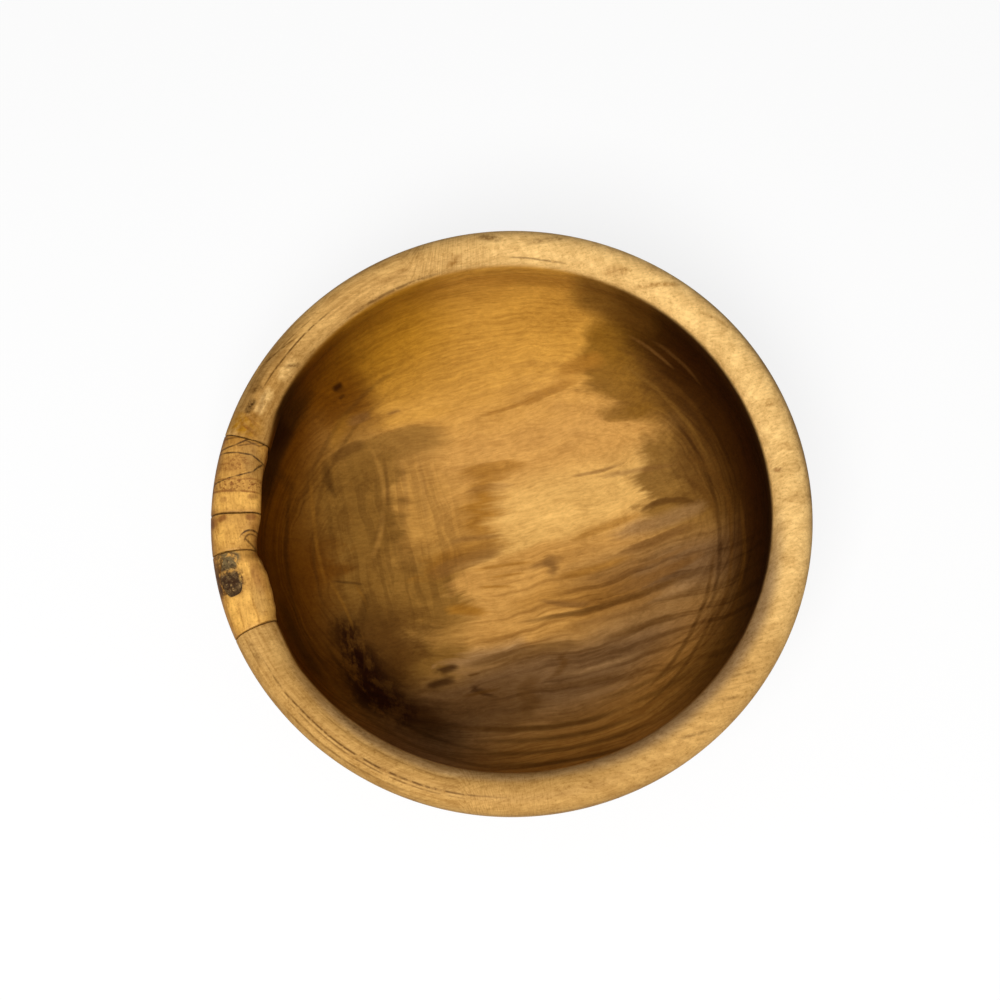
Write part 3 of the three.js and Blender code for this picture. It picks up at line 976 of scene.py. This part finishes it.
# figure of the let-in blocks
blockFigure = {
    "grain": 4,
    "wander": 0.6,
    "gloss": 0.2,
    "lift": (1.25, 1.28, 1.36),
    "zones": [                       # at, half sizes, turn, softness, tone, strength
        ((-72, 10), (9, 3.2), -4, 0.5, "blockYellow", 0.9),
        ((-72, -20), (9, 7), 10, 0.6, "blockYellow", 1.0),
        ((-75, 1), (5, 4.4), 0, 0.7, "blockYellow", 0.8),
        ((-70.9, -8.8), (2.2, 3.4), 10, 0.7, "blockYellow", 1.0),
        ((-69, 27), (9, 4), -10, 0.8, "amber", 0.6),
        ((-73, 20), (5, 3.0), 0, 0.8, "rust", 0.35),
        ((-66.6, 20), (3, 9), 10, 0.8, "stain", 0.5),
        ((-66.4, 0), (2.6, 9), 0, 0.8, "rust", 0.6),
        ((-67.4, -11), (2.0, 7), 16, 0.8, "rust", 0.5),
        ((-67, -18), (2.6, 7), 18, 0.8, "stain", 0.5),
        ((-75.5, 5.6), (1.7, 1.3), 20, 0.7, "rust", 0.9),
        ((-78.2, 4.8), (1.6, 2.2), 0, 0.7, "rust", 0.8),
        ((-67.9, 5.2), (1.6, 1.3), 0, 0.7, "rust", 0.8),
        ((-74.9, 10.6), (1.3, 1.1), 0, 0.7, "rust", 0.5),
        ((-67.2, 10.6), (1.6, 1.1), 0, 0.7, "rust", 0.5),
    ],
    "mottled": [                     # flecked with rust
        ((-71, 14.2), (9, 2.2), -4, 0.4, "rust", 0.95),
        ((-71.4, 20.2), (5, 2.6), 0, 0.6, "rust", 0.8),
    ],
    "stainHeights": (49, 57),        # stains die out down the outside between these
    "stains": [                      # round the knot
        ((-74.8, -5.4), (3.8, 2.5), 0, 0.6, "knotOlive", 1.0),
        ((-75.2, -11.8), (4.8, 5.0), 0, 0.5, "umber", 1.0),
        ((-77.6, -8.6), (2.4, 6.4), 6, 0.6, "umber", 0.8),
    ],
    "cracks": [                      # points along each, arch, width, tone, strength
        (((-77.6, 24.0), (-75.2, 23.6), (-70.5, 23.0), (-66.6, 21.8), (-64.0, 19.5)), 0, 0.75, "dark", 0.9),
        (((-64.0, 19.7), (-66.7, 17.2), (-71.5, 16.6), (-78.4, 15.5)), 0, 0.75, "dark", 0.9),
        (((-75.6, 24.6), (-70.9, 25.1), (-66.8, 26.3)), 0, 0.8, "dark", 0.85),
        (((-67.9, 25.9), (-64.6, 24.1), (-62.0, 25.4)), 0, 0.8, "dark", 0.7),
        (((-70.4, 24.8), (-66.7, 24.8), (-63.2, 25.0)), 0, 0.7, "umber", 0.7),
        (((-74.6, 27.6), (-69.4, 27.0), (-65.0, 25.9)), 0, 0.8, "umber", 0.7),
        (((-79.0, 13.6), (-70.7, 12.5), (-65.2, 11.4)), 0, 0.9, "rust", 0.9),
        (((-77.4, 16.8), (-70.0, 15.6), (-65.0, 15.0)), 0, 0.7, "rust", 0.7),
        (((-71.4, -0.8), (-65.4, -0.8)), 2.6, 0.9, "dark", 0.9),
        (((-70.0, -1.8), (-66.4, -0.6)), 2.0, 0.8, "umber", 0.85),
        (((-69.9, -0.4), (-68.4, -2.3), (-67.2, -4.5), (-66.2, -7.6)), 0, 0.9, "umber", 0.8),
        (((-77.6, -4.2), (-75.0, -3.5), (-72.2, -4.9)), 0, 0.8, "dark", 0.7),
        (((-69.6, -16.0), (-67.4, -24.6)), 0, 0.9, "amber", 0.6),
        (((-73.4, -17.0), (-71.8, -25.4)), 0, 0.8, "amber", 0.5),
        (((-76.6, -18.0), (-74.8, -26.0)), 0, 0.8, "amber", 0.45),
    ],
    "joints": {"start": 0.8, "firstJoint": 0.8, "secondJoint": 0.3, "end": 0.8},     # how dark they are
    "jointWidth": 1.2,
    "jointRun": (62, 84),            # radius at each end
}


def blockWood():
    made, start = material("paleOliveWood")
    figure = blockFigure
    place, wandered, grained = grainFrame(start, figure["wander"], figure["grain"])
    soft, plain = plan(wandered), plan(place)
    colour = blots(tones["blockHoney"], soft, 1, figure["zones"])
    dots = smooth(speckle(place, (1.0, 1.2, 1), 3, 0.6), 0.48, 0.62)
    colour = blots(colour, soft, dots, figure["mottled"])
    fuzzy = smooth(speckle(place, (0.8, 0.8, 0.8), 4, 0.7), 0.34, 0.56)
    fuzzy = fuzzy * smooth(plain[0].output(2), *figure["stainHeights"])
    colour = blots(colour, soft, fuzzy, figure["stains"])

    # a crack is a run of strokes, each a little longer than its part of the crack
    flaky = smooth(speckle(place, (1.3, 1.3, 1.3), 3, 0.6), 0.3, 0.55, 0.5, 1.0)
    for points, bend, width, paint, strength in figure["cracks"]:
        for first, last in zip(points, points[1:]):
            over = (Vector(last) - Vector(first)) * (0.5 / math.dist(first, last))
            ends = Vector(first) - over, Vector(last) + over
            colour = stroke(colour, soft, flaky * strength, *ends, bend, width, paint, 0.8)
    for joint, strength in figure["joints"].items():
        angle = math.radians(mend[joint])
        out = Vector((math.cos(angle), math.sin(angle)))
        ends = [out * radius for radius in figure["jointRun"]]
        colour = stroke(colour, plain, flaky * strength, *ends, 0, figure["jointWidth"], "umber", 0.9)

    # painted shade darkens the outer slope round the outside, fibres across the rim, fine flecks
    edge = smooth((plain[0] * plain[0] + plain[1] * plain[1]) ** 0.5, 77, 80.5, 0, 0.75)
    fibres = speckle(grained, (2.2, 0.25, 0.6), 3, 0.6)
    mottle = speckle(place, (0.45, 0.45, 0.45), 4, 0.7)
    flecks = smooth(speckle(place, (1.5, 1.5, 1.5), 3, 0.65), 0.5, 0.7, 0, 0.4)
    darkness = edge + flecks + smooth(fibres, 0.3, 0.7, 0.35, 0) + smooth(mottle, 0.3, 0.7, 0.45, 0)
    colour = darkened(vectorTimes(colour, figure["lift"]), darkness, tone(0.5, 0.42, 0.3))
    woodSurface(start, colour, smooth(mottle, 0.3, 0.7, 0.54, 0.44), figure["gloss"], fibres, 0.2, 0.08)
    return made


paleWood = blockWood()
for piece in rimBlocks.values():
    piece.data.materials.clear()
    piece.data.materials.append(paleWood)

# figure of the knot
knotFigure = {
    "wander": 0.8,
    "gloss": 0.2,
    "deep": tone(0.050, 0.024, 0.008),
    "bark": tone(0.150, 0.085, 0.028),
    "speck": tone(0.46, 0.27, 0.085),
    "lobes": [                       # at, half sizes, turn, softness, tone, strength
        ((-75.0, -6.6), (3.4, 2.4), 0, 0.6, "knotOlive", 1.0),
        ((-74.6, -8.8), (3.6, 1.0), 10, 0.8, "blockHoney", 0.8),
        ((-71.8, -9.6), (1.2, 3.6), 8, 0.8, "blockYellow", 1.0),
        ((-75.2, -12.6), (3.0, 3.0), 0, 0.8, "dark", 0.8),
    ],
}


def knotWood():
    made, start = material("knotWood")
    figure = knotFigure
    place, wandered = grainFrame(start, figure["wander"], 0)[:2]
    soft = plan(wandered)
    coarse = speckle(wandered, (0.7, 0.7, 0.7), 4, 0.65)
    colour = mixed(smooth(coarse, 0.42, 0.62), figure["deep"], figure["bark"])
    patchy = smooth(speckle(place, (1.0, 1.0, 1.0), 3, 0.6), 0.35, 0.62)
    colour = blots(colour, soft, patchy, figure["lobes"])
    flecks = smooth(speckle(place, (1.6, 1.6, 1.6), 2), 0.6, 0.7) * smooth(coarse, 0.4, 0.6)
    colour = mixed(flecks * 0.8, colour, figure["speck"])
    woodSurface(start, colour, smooth(coarse, 0.3, 0.7, 0.9, 0.7), figure["gloss"], coarse, 0.5, 0.2)
    return made


plug.data.materials.append(knotWood())
print("materials done")

# studio: pale floor, soft light from above and in front, white surroundings for the camera
studio = {
    "floorReach": 4,                 # metres
    "floorSeen": 0.9,
    "floorBounce": 0.45,
    "floorGlow": 0.8,
    "keyFrom": (-0.16, -0.5, 1),
    "keyDistance": 1.0,
    "keySize": 0.5,
    "keyPower": 9.5,
    "skyTop": 0.4,
    "skySide": 0.05,
}

floorMesh = bpy.data.meshes.new("studioFloor")
far = studio["floorReach"]
floorMesh.from_pydata([(-far, -far, 0), (far, -far, 0), (far, far, 0), (-far, far, 0)], [], [(0, 1, 2, 3)])
studioFloor = bpy.data.objects.new("studioFloor", floorMesh)
scene.collection.objects.link(studioFloor)

floorPaint, start = material("studioFloor")
seen = start.node("LightPath", {}, {}, "Is Camera Ray")
grey = studio["floorBounce"] + seen * (studio["floorSeen"] - studio["floorBounce"])
matt = start.node("BsdfDiffuse", {}, {"Color": start.node("CombineColor", {}, {0: grey, 1: grey, 2: grey})})
glow = start.node("Emission", {}, {"Color": tone(1, 1, 1), "Strength": 1.0})
both = start.node("MixShader", {}, {0: seen * studio["floorGlow"], 1: matt, 2: glow})
start.node("OutputMaterial", {}, {"Surface": both})
floorMesh.materials.append(floorPaint)

sky = bpy.data.worlds.new("studioSky")
scene.world = sky
sky.use_nodes = True
sky.node_tree.nodes.clear()
start = Wire(sky.node_tree)
up = start.node("SeparateXYZ", {}, {0: start.node("TexCoord", {}, {}, "Generated")}, 2)
level = smooth(up, 0.0, 0.9, studio["skySide"], studio["skyTop"])
seen = start.node("LightPath", {}, {}, "Is Camera Ray")
level = level + seen * (1 - level)
level = start.node("CombineColor", {}, {0: level, 1: level, 2: level})
start.node("OutputWorld", {}, {"Surface": start.node("Background", {}, {"Color": level, "Strength": 1.0})})

lamp = bpy.data.lights.new("keyLight", "AREA")
lamp.energy = studio["keyPower"]
lamp.size = studio["keySize"]
key = bpy.data.objects.new("keyLight", lamp)
scene.collection.objects.link(key)
direction = Vector(studio["keyFrom"]).normalized()
key.location = direction * studio["keyDistance"]
key.rotation_mode = "QUATERNION"
key.rotation_quaternion = direction.to_track_quat("Z", "Y")

# camera nearly overhead, leaning towards -Y and rolled a little
view = {
    "aim": (-2.436, 3.375, 56.5),
    "distance": 450,
    "elevation": 75.165,
    "roll": 6.176,
    "lens": 60.87,
    "sensor": 36,
    "nearest": 0.01,                 # metres
}
camera = bpy.data.objects.new("camera", bpy.data.cameras.new("camera"))
scene.collection.objects.link(camera)
tilt, roll = math.radians(view["elevation"]), math.radians(view["roll"])
back = Vector((0, -math.cos(tilt), math.sin(tilt)))
right = Vector((math.sin(roll), math.cos(roll), 0)).cross(back).normalized()
camera.data.lens = view["lens"]
camera.data.sensor_width = view["sensor"]
camera.data.clip_start = view["nearest"]
stand = Matrix.Translation((Vector(view["aim"]) + back * view["distance"]) * mm)
camera.matrix_world = stand @ Matrix((right, back.cross(right), back)).transposed().to_4x4()
scene.camera = camera
scene.view_settings.view_transform = "Standard"
print("studio done")
